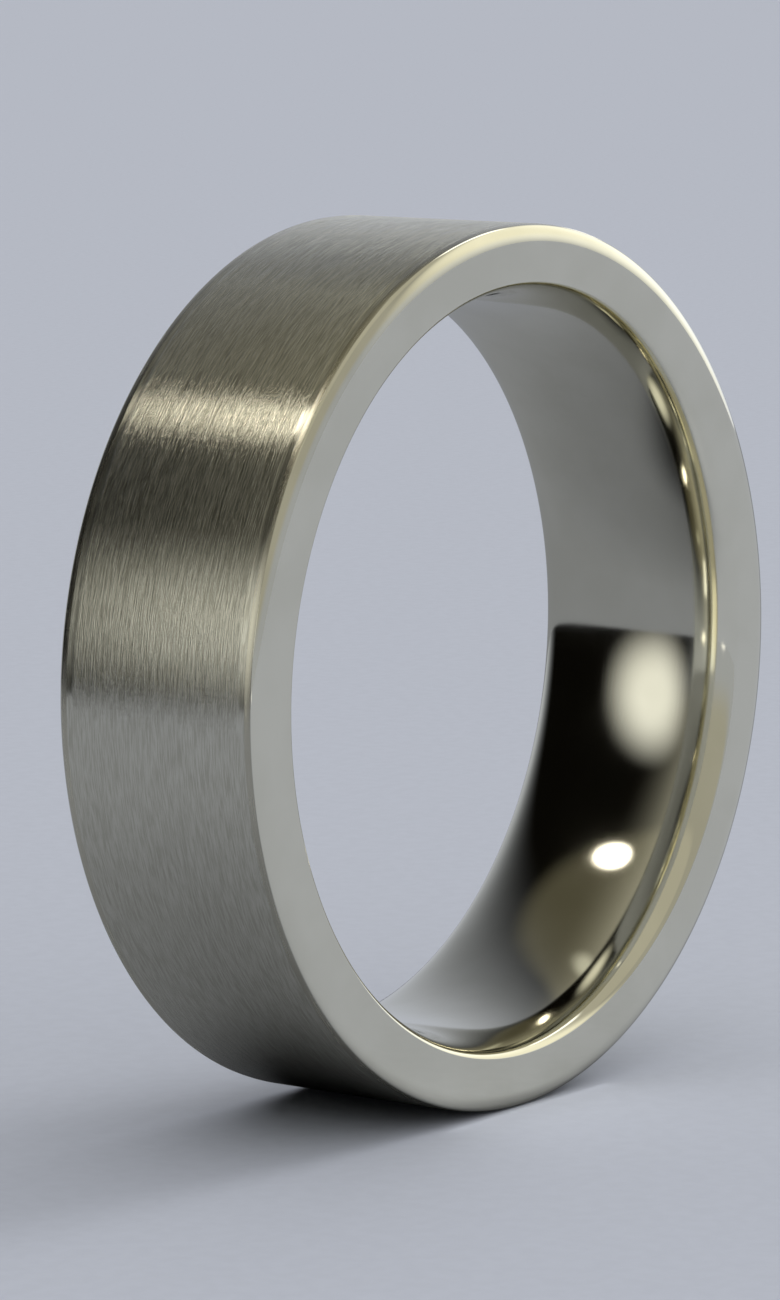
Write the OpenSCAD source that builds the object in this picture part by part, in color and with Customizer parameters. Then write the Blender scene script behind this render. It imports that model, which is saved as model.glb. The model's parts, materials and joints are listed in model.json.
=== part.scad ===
// Flat wedding band with a comfort-fit bore, standing upright on its rim.
// The band's axis lies along Y and the origin is the centre of the bore.

/* [Ring] */
// Inside diameter at the narrowest place, which sets the ring size
bore_d = 18.2; // [14:0.1:24]
// Thickness of the metal between the bore and the outer face
wall = 1.9; // [1.5:0.1:3]
// Width of the band along the finger
band_w = 6; // [4:0.5:10]

/* [Comfort fit] */
// Length of the straight middle of the bore
land_w = 0.4; // [0.4:0.1:3]
// How far the bore opens from there to each side face, measured on the radius
mouth_rise = 0.58; // [0.2:0.02:0.8]

/* [Outer edge] */
// How far each rounded outer edge reaches down the side face
edge_drop = 0.45; // [0.1:0.05:0.6]
// How far that rounded edge reaches in along the outer face
edge_run = 0.2; // [0.1:0.05:0.6]

/* [Hidden] */
bore_r = bore_d / 2;
outer_r = bore_r + wall;
mouth_r = bore_r + mouth_rise;
half_w = band_w / 2;
mouth_run = half_w - land_w / 2;
// Straight stretches in each rounded outer edge and in each half of the domed bore
edge_steps = 8;
mouth_steps = 16;
$fn = 180;

// A quarter of an ellipse about centre, counterclockwise from the angle start
function quarter(centre, radii, start, steps) = [
    for (i = [0 : steps])
        let (angle = start + 90 * i / steps)
        centre + [radii.x * cos(angle), radii.y * sin(angle)]
];

// The metal's cross-section, with x as the radius and y along the band's axis.
// It runs from the outer edge over the far side face, through the bore and back.
function section() =
    let (
        edge = [edge_drop, edge_run],
        mouth = [mouth_rise, mouth_run],
        edge_at = [outer_r - edge_drop, half_w - edge_run],
        mouth_at = [mouth_r, half_w - mouth_run]
    )
    concat(
        quarter(edge_at, edge, 0, edge_steps),
        quarter(mouth_at, mouth, 90, mouth_steps),
        quarter([mouth_at.x, -mouth_at.y], mouth, 180, mouth_steps),
        quarter([edge_at.x, -edge_at.y], edge, 270, edge_steps)
    );

module band() {
    color([0.56, 0.55, 0.51])
        rotate([90, 0, 0])
            rotate_extrude()
                polygon(section());
}

band();
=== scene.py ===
"""A plain wedding band standing on its rim: satin outside, polished edges, side faces and domed bore."""

import json
import math

import bpy
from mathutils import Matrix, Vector


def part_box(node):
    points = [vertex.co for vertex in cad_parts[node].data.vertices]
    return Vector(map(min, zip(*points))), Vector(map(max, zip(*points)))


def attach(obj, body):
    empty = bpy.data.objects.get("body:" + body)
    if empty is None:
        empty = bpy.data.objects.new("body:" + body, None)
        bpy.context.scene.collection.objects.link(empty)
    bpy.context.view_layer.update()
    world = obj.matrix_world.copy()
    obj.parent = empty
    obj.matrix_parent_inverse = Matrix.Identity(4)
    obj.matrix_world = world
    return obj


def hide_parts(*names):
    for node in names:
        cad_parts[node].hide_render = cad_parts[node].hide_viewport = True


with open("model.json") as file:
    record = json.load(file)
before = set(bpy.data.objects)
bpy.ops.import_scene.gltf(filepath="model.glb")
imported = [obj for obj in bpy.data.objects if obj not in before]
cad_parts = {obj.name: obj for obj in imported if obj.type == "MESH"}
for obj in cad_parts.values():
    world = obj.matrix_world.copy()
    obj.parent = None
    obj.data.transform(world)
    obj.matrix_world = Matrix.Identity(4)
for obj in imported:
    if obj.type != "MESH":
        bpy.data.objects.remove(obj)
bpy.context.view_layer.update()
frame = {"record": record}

MM = 0.001

# ---- Sizes of the band, in metres ----
band_low, band_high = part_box("band")
OUTER_R = band_high.z
HALF_WIDTH = band_high.y
FLOOR_Z = band_low.z
BORE = next(m for m in frame["record"]["mounts"] if m["name"] == "finger_bore")
BORE_R = BORE["dims"]["r_mm"] * MM
# How far the bore opens, on the radius, from its middle to each side face
MOUTH_RISE = 0.58 * MM
# How far each rounded edge reaches down the side face, and in along the outer face
EDGE_DROP = 0.45 * MM
EDGE_RUN = 0.20 * MM
# Width of the strip beside each rounded edge where the scratches are worn off
STRIP_RUN = 0.16 * MM
# Lean of that strip at its inner and its outer side, in degrees
STRIP_LEAN = (3, 10)

# Straight stretches round the band, across each worn strip and rounded edge, and across the bore
TURNS = 720
STRIP_STEPS = 4
EDGE_STEPS = 16
BORE_STEPS = 72


# ---- Directions ----
def towards(azimuth, elevation):
    """The direction of a place round the band: azimuth 0 is in front, along -Y, and 90 is along +X."""
    a, e = math.radians(azimuth), math.radians(elevation)
    return Vector((math.sin(a) * math.cos(e), -math.cos(a) * math.cos(e), math.sin(e)))


def axes_towards(azimuth, elevation):
    """The direction of a place, with the level and the upright direction square to it."""
    ahead = towards(azimuth, elevation)
    level = towards(azimuth + 90, 0)
    return ahead, level, ahead.cross(level)


# ---- Camera ----
CAMERA_AZIMUTH = -53.9
CAMERA_ELEVATION = 7.87
CAMERA_DISTANCE = 145 * MM
LENS = 160.7
SENSOR_WIDTH = 36
# How far the point that it looks at lies to the right of the origin and above it
AIM_RIGHT = -0.947 * MM
AIM_UP = 0.253 * MM
# Nearest and furthest distance that it sees, in metres
CLIP = (0.005, 5)


def make_camera():
    """A long lens low on the band's left, which sees the outer face, a side face and into the bore."""
    back, right, up = axes_towards(CAMERA_AZIMUTH, CAMERA_ELEVATION)
    data = bpy.data.cameras.new("camera")
    data.lens = LENS
    data.sensor_width = SENSOR_WIDTH
    data.clip_start, data.clip_end = CLIP
    camera = bpy.data.objects.new("camera", data)
    camera.location = back * CAMERA_DISTANCE + right * AIM_RIGHT + up * AIM_UP
    camera.rotation_mode = "QUATERNION"
    camera.rotation_quaternion = (-back).to_track_quat("-Z", "Y")
    bpy.context.scene.collection.objects.link(camera)
    bpy.context.scene.camera = camera


# ---- Node helpers ----
def add_node(tree, kind, **settings):
    made = tree.nodes.new(kind)
    for name, value in settings.items():
        setattr(made, name, value)
    return made


def join(tree, source, target):
    tree.links.new(source, target)


def math_node(tree, operation, first, second=None):
    """A Math node. Each operand is a number or a socket."""
    made = add_node(tree, "ShaderNodeMath", operation=operation)
    for socket, value in zip(made.inputs, (first, second)):
        if value is None:
            continue
        if isinstance(value, (int, float)):
            socket.default_value = value
        else:
            join(tree, value, socket)
    return made.outputs[0]


def ramp_between(tree, value, low, high, at_low=0.0, at_high=1.0):
    """value eased from at_low, at low and below, to at_high, at high and above."""
    made = add_node(tree, "ShaderNodeMapRange", interpolation_type="SMOOTHSTEP")
    join(tree, value, made.inputs["Value"])
    made.inputs["From Min"].default_value = low
    made.inputs["From Max"].default_value = high
    made.inputs["To Min"].default_value = at_low
    made.inputs["To Max"].default_value = at_high
    return made.outputs["Result"]


def mix_colours(tree, share, first, second):
    """first where share is 0, second where it is 1. Each is a colour or a socket."""
    made = add_node(tree, "ShaderNodeMix", data_type="RGBA")
    join(tree, share, made.inputs["Factor"])
    for socket, colour in ((made.inputs[6], first), (made.inputs[7], second)):
        if isinstance(colour, tuple):
            socket.default_value = (*colour, 1)
        else:
            join(tree, colour, socket)
    return made.outputs[2]


def dot(tree, place, direction):
    made = add_node(tree, "ShaderNodeVectorMath", operation="DOT_PRODUCT")
    join(tree, place, made.inputs[0])
    made.inputs[1].default_value = direction
    return made.outputs["Value"]


def distance_from(tree, place, point):
    made = add_node(tree, "ShaderNodeVectorMath", operation="DISTANCE")
    join(tree, place, made.inputs[0])
    made.inputs[1].default_value = point
    return made.outputs["Value"]


def added(tree, first, second):
    made = add_node(tree, "ShaderNodeVectorMath", operation="ADD")
    join(tree, first, made.inputs[0])
    join(tree, second, made.inputs[1])
    return made.outputs[0]


def scaled(tree, vector, share):
    """A vector or colour, fixed or from a socket, times the value of a socket."""
    made = add_node(tree, "ShaderNodeVectorMath", operation="SCALE")
    if isinstance(vector, bpy.types.NodeSocket):
        join(tree, vector, made.inputs[0])
    else:
        made.inputs[0].default_value = vector
    join(tree, share, made.inputs["Scale"])
    return made.outputs[0]


def along_axis(tree, place):
    """How far a place lies along the band's axis."""
    made = add_node(tree, "ShaderNodeSeparateXYZ")
    join(tree, place, made.inputs[0])
    return made.outputs["Y"]


def object_place(tree):
    return add_node(tree, "ShaderNodeTexCoord").outputs["Object"]


def noise(tree, place, size, detail=2.0, roughness=0.5):
    """Cloudy noise from 0 to 1 whose blots are about size across."""
    made = add_node(tree, "ShaderNodeTexNoise")
    made.inputs["Scale"].default_value = 1 / size
    made.inputs["Detail"].default_value = detail
    made.inputs["Roughness"].default_value = roughness
    join(tree, place, made.inputs["Vector"])
    return made.outputs[0]


def stretched_noise(tree, place, grain, roughness=0.5, offset=0.0):
    """Noise drawn out round the band. grain is the length and the width of its grains, in metres."""
    length, width = grain
    mapping = add_node(tree, "ShaderNodeMapping")
    mapping.inputs["Scale"].default_value = (1 / length, 1 / width, 1 / length)
    mapping.inputs["Location"].default_value = (offset, offset, offset)
    join(tree, place, mapping.inputs["Vector"])
    return noise(tree, mapping.outputs["Vector"], 1.0, roughness=roughness)


def wavy_place(tree, place, length, shift):
    """place shifted to and fro along the axis, so that scratches run a little aslant."""
    swing = math_node(tree, "SUBTRACT", noise(tree, place, length, detail=1.0), 0.5)
    return added(tree, place, scaled(tree, (0, shift, 0), swing))


def bump(tree, height, depth):
    made = add_node(tree, "ShaderNodeBump")
    made.inputs["Strength"].default_value = 1.0
    made.inputs["Distance"].default_value = depth
    join(tree, height, made.inputs["Height"])
    return made.outputs["Normal"]


def new_material(name):
    material = bpy.data.materials.new(name)
    material.use_nodes = True
    tree = material.node_tree
    shader = next(n for n in tree.nodes if n.type == "BSDF_PRINCIPLED")
    return material, tree, shader


def new_metal(name):
    material, tree, shader = new_material(name)
    shader.inputs["Metallic"].default_value = 1.0
    return material, tree, shader


# ---- Metal finishes ----
SATIN = (0.86, 0.84, 0.72)
SATIN_DARK = (0.66, 0.64, 0.53)
POLISHED = (0.76, 0.74, 0.63)
POLISHED_DULL = (0.72, 0.70, 0.59)
WORN = (0.76, 0.73, 0.60)
WORN_DARK = (0.68, 0.65, 0.53)

# Nearly all of a noise lies between these two levels
NOISE_RANGE = (0.3, 0.7)
# Roughness at the low and at the high end of that range
SATIN_ROUGH = (0.18, 0.215)
POLISHED_ROUGH = (0.05, 0.08)
WORN_ROUGH = (0.22, 0.28)
# Levels of noise between which the darker colour gives way to the lighter one
SATIN_BLEND = (0.35, 0.62)
POLISHED_BLEND = (0.35, 0.65)

# Length and width of the marks in the metal
FINE_SCRATCH = (0.6 * MM, 0.03 * MM)
BROAD_SCRATCH = (0.9 * MM, 0.09 * MM)
HAIRLINE = (1.4 * MM, 0.02 * MM)
WORN_GRAIN = (0.9 * MM, 0.06 * MM)
# Their depth, and the share of the broad scratches in the satin
SATIN_DEPTH = 0.007 * MM
HAIRLINE_DEPTH = 0.0002 * MM
WORN_DEPTH = 0.0006 * MM
BROAD_SHARE = 0.5
# The satin scratches stray this far sideways, over about this length
STRAY = 0.03 * MM
STRAY_LENGTH = 1.1 * MM
# They fade between these two distances from each side face, down to this share of their depth
FADE_FROM = 0.58 * MM
FADE_TO = 0.46 * MM
FADED_SHARE = 0.1
# Size of the haze in the polish
HAZE = 2.2 * MM


def satin_metal():
    """The outer face: fine short scratches that run round the band and fade out next to the edges."""
    material, tree, shader = new_metal("satin_metal")
    place = object_place(tree)
    aslant = wavy_place(tree, place, STRAY_LENGTH, STRAY)
    fine = stretched_noise(tree, aslant, FINE_SCRATCH, roughness=0.6)
    broad = stretched_noise(tree, aslant, BROAD_SCRATCH, offset=7.3)
    height = math_node(tree, "ADD", fine, math_node(tree, "MULTIPLY", broad, BROAD_SHARE))
    from_middle = math_node(tree, "ABSOLUTE", along_axis(tree, place))
    fade = ramp_between(tree, from_middle, HALF_WIDTH - FADE_FROM, HALF_WIDTH - FADE_TO, 1.0, FADED_SHARE)
    scratches = math_node(tree, "MULTIPLY", height, fade)
    join(tree, bump(tree, scratches, SATIN_DEPTH), shader.inputs["Normal"])
    tone = ramp_between(tree, fine, *SATIN_BLEND)
    join(tree, mix_colours(tree, tone, SATIN_DARK, SATIN), shader.inputs["Base Color"])
    join(tree, ramp_between(tree, broad, *NOISE_RANGE, *SATIN_ROUGH), shader.inputs["Roughness"])
    # The scratches spread a reflection across them and hardly along them
    shader.inputs["Anisotropic"].default_value = 1.0
    shader.inputs["Anisotropic Rotation"].default_value = 0.25
    tangent = add_node(tree, "ShaderNodeTangent", direction_type="RADIAL", axis="Y")
    join(tree, tangent.outputs["Tangent"], shader.inputs["Tangent"])
    return material


def worn_metal():
    """The strip beside each edge, where use has rubbed the scratches into a soft even sheen."""
    material, tree, shader = new_metal("worn_metal")
    level = stretched_noise(tree, object_place(tree), WORN_GRAIN, offset=5.7)
    tone = ramp_between(tree, level, *NOISE_RANGE)
    join(tree, mix_colours(tree, tone, WORN_DARK, WORN), shader.inputs["Base Color"])
    join(tree, ramp_between(tree, level, *NOISE_RANGE, *WORN_ROUGH), shader.inputs["Roughness"])
    join(tree, bump(tree, level, WORN_DEPTH), shader.inputs["Normal"])
    return material


def polished_metal():
    """The edges, side faces and bore: nearly a mirror, with a faint haze and hairline marks from wear."""
    material, tree, shader = new_metal("polished_metal")
    place = object_place(tree)
    haze = noise(tree, place, HAZE, detail=3.0)
    tone = ramp_between(tree, haze, *POLISHED_BLEND)
    join(tree, mix_colours(tree, tone, POLISHED_DULL, POLISHED), shader.inputs["Base Color"])
    join(tree, ramp_between(tree, haze, *NOISE_RANGE, *POLISHED_ROUGH), shader.inputs["Roughness"])
    hair = stretched_noise(tree, place, HAIRLINE, offset=3.1)
    join(tree, bump(tree, hair, HAIRLINE_DEPTH), shader.inputs["Normal"])
    return material


# ---- The band ----
# Places of the three finishes in the mesh's list of materials
SATIN_FACE, WORN_STRIP, POLISHED_FACE = range(3)


def arc(centre, radii, start, end, steps):
    """Part of an ellipse as (radius, axial place, normal), counterclockwise between two angles."""
    points = []
    for i in range(steps + 1):
        angle = math.radians(start + (end - start) * i / steps)
        cosine, sine = math.cos(angle), math.sin(angle)
        normal = Vector((cosine / radii[0], sine / radii[1])).normalized()
        points.append((centre[0] + radii[0] * cosine, centre[1] + radii[1] * sine, normal))
    return points


def half_section():
    """One worn strip and its rounded edge, from the satin face to the side face at +Y."""
    lean_from, lean_to = (math.radians(lean) for lean in STRIP_LEAN)
    strip_r = STRIP_RUN / (math.sin(lean_to) - math.sin(lean_from))
    # The rounded edge starts where it leans as much as the strip does at its end
    edge_from = math.atan(math.tan(lean_to) * EDGE_RUN / EDGE_DROP)
    edge_y = HALF_WIDTH - EDGE_RUN
    strip_y = edge_y + EDGE_RUN * math.sin(edge_from) - strip_r * math.sin(lean_to)
    centre = (OUTER_R - strip_r * math.cos(lean_from), strip_y)
    points = arc(centre, (strip_r, strip_r), *STRIP_LEAN, STRIP_STEPS)
    edge_r = points.pop()[0] - EDGE_DROP * math.cos(edge_from)
    return points + arc((edge_r, edge_y), (EDGE_DROP, EDGE_RUN), math.degrees(edge_from), 90, EDGE_STEPS)


def section():
    """The cross-section: one strip and edge, the domed bore, the other edge and strip."""
    near = half_section()
    bore = arc((BORE_R + MOUTH_RISE, 0), (MOUTH_RISE, HALF_WIDTH), 90, 270, BORE_STEPS)
    far = [(radius, -along, Vector((normal[0], -normal[1]))) for radius, along, normal in reversed(near)]
    return near + bore + far


def finish_after(k, count):
    """The finish of the faces between point k of the section, which has count points, and the next."""
    if k == count - 1:
        return SATIN_FACE
    if k < STRIP_STEPS or k >= count - 1 - STRIP_STEPS:
        return WORN_STRIP
    return POLISHED_FACE


def band_mesh(finishes):
    """The section turned about the band's axis. finishes are the satin, worn and polished materials."""
    points = section()
    count = len(points)
    places, normals, faces, finish = [], [], [], []
    for turn in range(TURNS):
        angle = 2 * math.pi * turn / TURNS
        cosine, sine = math.cos(angle), math.sin(angle)
        for radius, along, normal in points:
            places.append((radius * cosine, along, radius * sine))
            normals.append((normal[0] * cosine, normal[1], normal[0] * sine))
    for turn in range(TURNS):
        here, there = turn * count, (turn + 1) % TURNS * count
        for k in range(count):
            after = (k + 1) % count
            faces.append((here + k, here + after, there + after, there + k))
            finish.append(finish_after(k, count))
    mesh = bpy.data.meshes.new("band_metal")
    mesh.from_pydata(places, [], faces)
    for material in finishes:
        mesh.materials.append(material)
    mesh.polygons.foreach_set("material_index", finish)
    mesh.polygons.foreach_set("use_smooth", [True] * len(faces))
    mesh.update()
    mesh.normals_split_custom_set_from_vertices(normals)
    return mesh


def make_band():
    finishes = [satin_metal(), worn_metal(), polished_metal()]
    band = bpy.data.objects.new("band_metal", band_mesh(finishes))
    bpy.context.scene.collection.objects.link(band)
    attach(band, "root")
    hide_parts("band")


# ---- Floor ----
FLOOR_COLOUR = (0.60, 0.63, 0.71)
# Size of the paper's mottling, and its darkest and lightest share of the colour
MOTTLE = 0.5 * MM
MOTTLE_SHARE = (0.985, 1.015)
# The floor reaches this far to all sides. The sheet that the metal sees ends sooner towards one side,
# and lies just above the floor.
PAPER_REACH = 1200 * MM
PAPER_END = 105 * MM
PAPER_END_AZIMUTH = -136
SHEET_LIFT = 0.005 * MM
# Painted shade: that sheet gets darker towards the back, down to this share, as Y goes from one place to
# the other, standing in for the paper looking darker from the metal on the side away from the light
PAINTED_SHADE_SHARE = 0.58
BEHIND_RANGE = (-6 * MM, 1 * MM)
# Painted shadow round the band's foot too: the share that it loses, from what distance, and up to where
PAINTED_FOOT_SHADOW = ((0.85, 2.2 * MM, 8.5 * MM), (0.20, 8 * MM, 30 * MM))
# but in front that loss only sets in as Y goes from one place to the other
FOOT_RANGE = (-4 * MM, -2 * MM)


def sheet(name, outline, height, material):
    """A flat level sheet with the outline's corners as (x, y)."""
    mesh = bpy.data.meshes.new(name)
    mesh.from_pydata([(x, y, height) for x, y in outline], [], [tuple(range(len(outline)))])
    mesh.materials.append(material)
    made = bpy.data.objects.new(name, mesh)
    bpy.context.scene.collection.objects.link(made)
    return made


def with_painted_shade(tree, place, tone):
    """tone made darker behind the band by painted shade and round its foot by a painted shadow, as the
    metal sees the paper there.
    """
    axial = along_axis(tree, place)
    # Painted shade behind the band
    behind = ramp_between(tree, axial, *BEHIND_RANGE, 1.0, PAINTED_SHADE_SHARE)
    past_front = ramp_between(tree, axial, *FOOT_RANGE)
    # Painted shadow round the band's foot
    away = distance_from(tree, place, (0, 0, FLOOR_Z))
    for most, start, end in PAINTED_FOOT_SHADOW:
        loss = math_node(tree, "MULTIPLY", ramp_between(tree, away, start, end, most, 0.0), past_front)
        tone = math_node(tree, "MULTIPLY", tone, math_node(tree, "SUBTRACT", 1.0, loss))
    return math_node(tree, "MULTIPLY", tone, behind)


def paper(name, paint_shade):
    """Pale matt paper with a faint mottling, and for the sheet that the metal sees, painted shade behind
    the band and a painted shadow round its foot.
    """
    material, tree, shader = new_material(name)
    shader.inputs["Roughness"].default_value = 0.9
    shader.inputs["Specular IOR Level"].default_value = 0.0
    place = object_place(tree)
    tone = ramp_between(tree, noise(tree, place, MOTTLE, detail=4.0), *NOISE_RANGE, *MOTTLE_SHARE)
    # The sheet that the metal sees gets painted shade and a painted shadow
    if paint_shade:
        tone = with_painted_shade(tree, place, tone)
    join(tree, scaled(tree, FLOOR_COLOUR, tone), shader.inputs["Base Color"])
    return material


def make_floor():
    """The floor that the camera sees, and the sheet that shows in the metal in its stead."""
    r = PAPER_REACH
    square = [(-r, -r), (r, -r), (r, r), (-r, r)]
    floor = sheet("floor", square, FLOOR_Z, paper("floor_paper", False))
    floor.visible_glossy = False
    away = towards(PAPER_END_AZIMUTH, 0)
    along = Vector((-away.y, away.x, 0))
    near_side, far_side = away * PAPER_END, -away * r
    corners = [near_side - along * r, near_side + along * r, far_side + along * r, far_side - along * r]
    outline = [(corner.x, corner.y) for corner in corners]
    # This sheet carries the painted shade behind the band and the painted shadow round its foot
    seen = sheet("floor_sheet", outline, FLOOR_Z + SHEET_LIFT, paper("sheet_paper", True))
    seen.visible_camera = False
    seen.visible_diffuse = False
    seen.visible_shadow = False


# ---- Lamps that light the floor only: the metal is lit by the room ----
# The suns as (name, azimuth, elevation, spread, strength), with the angles in degrees
SUNS = (
    ("key", 80, 32, 24, 0.72),
    ("fill", 50, 66, 150, 2.22),
)
# The lamp that stands on the floor just before the front side face: its size, gap to it and watts
BOUNCE_WIDTH = 7 * MM
BOUNCE_HEIGHT = 13 * MM
BOUNCE_GAP = 0.05 * MM
BOUNCE_POWER = 0.000094


def floor_lamp(data, azimuth, elevation, location=(0, 0, 0)):
    """Puts a lamp in the scene that shines from that direction and that no reflection shows."""
    made = bpy.data.objects.new(data.name, data)
    made.location = location
    made.rotation_mode = "QUATERNION"
    made.rotation_quaternion = towards(azimuth, elevation).to_track_quat("Z", "Y")
    made.visible_glossy = False
    bpy.context.scene.collection.objects.link(made)


def sun(name, azimuth, elevation, spread, strength):
    data = bpy.data.lights.new(name, "SUN")
    data.energy = strength
    data.angle = math.radians(spread)
    floor_lamp(data, azimuth, elevation)


def bounce():
    """The light that the front side face throws on the floor before it."""
    data = bpy.data.lights.new("bounce", "AREA")
    data.shape = "RECTANGLE"
    data.size = BOUNCE_WIDTH
    data.size_y = BOUNCE_HEIGHT
    data.energy = BOUNCE_POWER
    floor_lamp(data, 180, 0, (0, -HALF_WIDTH - BOUNCE_GAP, FLOOR_Z + BOUNCE_HEIGHT / 2))


def make_lamps():
    for lamp in SUNS:
        sun(*lamp)
    bounce()


# ---- The room that the metal reflects ----
# What the camera sees behind the floor
BACKDROP = (0.447, 0.468, 0.535)
# The room's lights, as (azimuth, elevation, width, height, soft border, strength, colour, round),
# with the angles in degrees
SOFT_BOXES = {
    "window": (-117.5, 12, 27, 44, 11, 1.08, (1.00, 1.00, 0.94), True),
    "lamp": (-141.5, 54.6, 12, 8.5, 2, 6.2, (1.00, 0.94, 0.82), True),
    "window_glow": (-96, 13, 14, 22, 6, 0.80, (1.00, 1.00, 0.92), True),
    "side_window": (98, 50, 24, 24, 5, 1.50, (1.00, 1.00, 0.97), False),
    "low_lamp": (108, 17, 12, 7, 2, 2.2, (1.00, 0.97, 0.90), True),
    "front_lamp": (-78, -4, 14, 6, 2, 1.4, (1.00, 0.97, 0.90), True),
    "skylight": (145, 64, 12, 10, 4, 0.40, (1.00, 1.00, 0.84), True),
}
# The dark side of the room, its brown ceiling, the pale wall behind the band, the lit side in front,
# low down and higher up, and the warmer light at the right of it
DARK = (0.003, 0.0027, 0.002)
CEILING = (0.092, 0.085, 0.058)
WALL = (0.50, 0.53, 0.61)
FRONT_LOW = (0.42, 0.44, 0.48)
FRONT_HIGH = (0.42, 0.41, 0.35)
FRONT_RIGHT = (0.74, 0.71, 0.56)
# Where each one's middle lies, as azimuth and elevation in degrees
WALL_MIDDLE = (130, 0)
FRONT_MIDDLE = (0, 10)
FRONT_RIGHT_MIDDLE = (68, 24)
# Each one sets in between these two cosines of the angle to its middle, which for the ceiling is
# straight up
CEILING_EDGE = (0.74, 0.81)
WALL_EDGE = (0.30, 0.75)
FRONT_EDGE = (-0.35, 0.05)
FRONT_RIGHT_EDGE = (0.84, 0.97)
# The wall fades out between these two heights, as sines of the elevation, and the front goes from
# its low colour to its high one between these two
WALL_TOP = (0.08, 0.98)
FRONT_TURN = (0.08, 0.30)


def soft_box(tree, place, azimuth, elevation, width, height, soft, strength, colour, round_off):
    """One light of the room, as a colour that is black outside it. Returns its socket."""
    ahead, level, upright = axes_towards(azimuth, elevation)
    depth = dot(tree, place, ahead)
    reaches = []
    for side in (level, upright):
        slope = math_node(tree, "DIVIDE", dot(tree, place, side), depth)
        reaches.append(math_node(tree, "ABSOLUTE", slope))
    limits = [math.tan(math.radians(size / 2)) for size in (width, height)]
    border = math.tan(math.radians(soft))
    if round_off:
        squares = []
        for reach, limit in zip(reaches, limits):
            squares.append(math_node(tree, "POWER", math_node(tree, "DIVIDE", reach, limit), 2.0))
        away = math_node(tree, "SQRT", math_node(tree, "ADD", *squares))
        mask = ramp_between(tree, away, 1 - border / min(limits), 1.0, 1.0, 0.0)
    else:
        masks = []
        for reach, limit in zip(reaches, limits):
            masks.append(ramp_between(tree, reach, limit - border, limit, 1.0, 0.0))
        mask = math_node(tree, "MULTIPLY", *masks)
    # Without this the light would show on the opposite side of the room as well
    mask = math_node(tree, "MULTIPLY", mask, math_node(tree, "GREATER_THAN", depth, 0.0))
    return scaled(tree, Vector(colour) * strength, mask)


def ceiling(tree, height):
    return scaled(tree, CEILING, ramp_between(tree, height, *CEILING_EDGE))


def wall(tree, place, height):
    """The pale wall behind the band, which fades out upwards."""
    behind = ramp_between(tree, dot(tree, place, towards(*WALL_MIDDLE)), *WALL_EDGE)
    low = ramp_between(tree, height, *WALL_TOP, 1.0, 0.0)
    return scaled(tree, WALL, math_node(tree, "MULTIPLY", behind, low))


def front(tree, place, height):
    """The lit side of the room in front of the band, bluer low down than higher up."""
    ahead = ramp_between(tree, dot(tree, place, towards(*FRONT_MIDDLE)), *FRONT_EDGE)
    low = ramp_between(tree, height, *FRONT_TURN, 1.0, 0.0)
    return scaled(tree, mix_colours(tree, low, FRONT_HIGH, FRONT_LOW), ahead)


def front_right(tree, place):
    near_middle = dot(tree, place, towards(*FRONT_RIGHT_MIDDLE))
    return scaled(tree, FRONT_RIGHT, ramp_between(tree, near_middle, *FRONT_RIGHT_EDGE))


def dark_side(tree):
    made = add_node(tree, "ShaderNodeCombineXYZ")
    for socket, value in zip(made.inputs, DARK):
        socket.default_value = value
    return made.outputs[0]


def make_room():
    """A dark room with soft lights that the metal reflects, and a plain pale backdrop for the camera."""
    world = bpy.data.worlds.new("room")
    bpy.context.scene.world = world
    world.use_nodes = True
    tree = world.node_tree
    background = next(n for n in tree.nodes if n.type == "BACKGROUND")
    place = add_node(tree, "ShaderNodeTexCoord").outputs["Generated"]
    height = dot(tree, place, (0, 0, 1))
    lights = [
        ceiling(tree, height),
        wall(tree, place, height),
        front(tree, place, height),
        front_right(tree, place),
    ]
    for box in SOFT_BOXES.values():
        lights.append(soft_box(tree, place, *box))
    total = dark_side(tree)
    for light in lights:
        total = added(tree, total, light)
    to_camera = add_node(tree, "ShaderNodeLightPath").outputs["Is Camera Ray"]
    join(tree, mix_colours(tree, to_camera, total, BACKDROP), background.inputs["Color"])
    background.inputs["Strength"].default_value = 1.0
    world.cycles_visibility.diffuse = False


make_camera()
make_band()
make_floor()
make_lamps()
make_room()
bpy.context.scene.view_settings.view_transform = "Standard"
